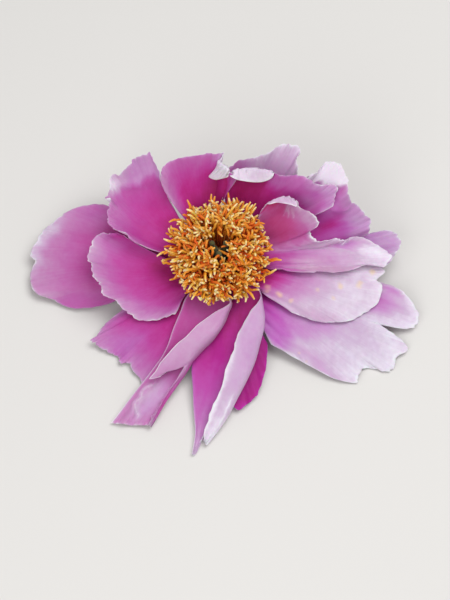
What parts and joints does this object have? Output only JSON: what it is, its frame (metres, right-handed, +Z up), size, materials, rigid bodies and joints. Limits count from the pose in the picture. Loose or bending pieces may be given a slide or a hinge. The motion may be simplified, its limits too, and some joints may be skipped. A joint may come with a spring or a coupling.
{
  "type": "peony bloom",
  "caption": "Open semi-double peony bloom, picked and lying face up: spreading waved pink petals round a golden boss of stamens.",
  "frame": {"origin": "middle of the bloom's own box in plan, on the surface that it lies on", "axes": "+Z up out of the face of the bloom, +X to the right as seen from the front, +Y to the back, where the petals stand highest"},
  "size_m": [0.1586, 0.1166, 0.0464],
  "materials": {
    "petal": "satin, thin and translucent, dark magenta at the base, pale lilac towards the margin",
    "sepal": "matte, leathery green",
    "receptacle": "matte, fleshy green",
    "stem": "satin green",
    "stamens": "golden anthers on orange filaments, powdery",
    "carpels": "matte, downy dark green"
  },
  "bodies": {
    "root": {"petal_outer_left": "petal", "petal_lower_left": "petal", "petal_left": "petal", "petal_upper_left": "petal", "petal_back_left": "petal", "petal_back": "petal", "petal_back_outer": "petal", "petal_upper_right": "petal", "petal_inner_right": "petal", "petal_outer_right": "petal", "petal_right": "petal", "petal_lower_right": "petal", "petal_front_under": "petal", "petal_front_folded": "petal", "petal_front_left_folded": "petal", "sepal_1": "sepal", "sepal_2": "sepal", "sepal_3": "sepal", "sepal_4": "sepal", "sepal_5": "sepal", "receptacle": "receptacle", "stem_stub": "stem", "stamens": "stamens", "carpels": "carpels"}
  },
  "joints": []
}
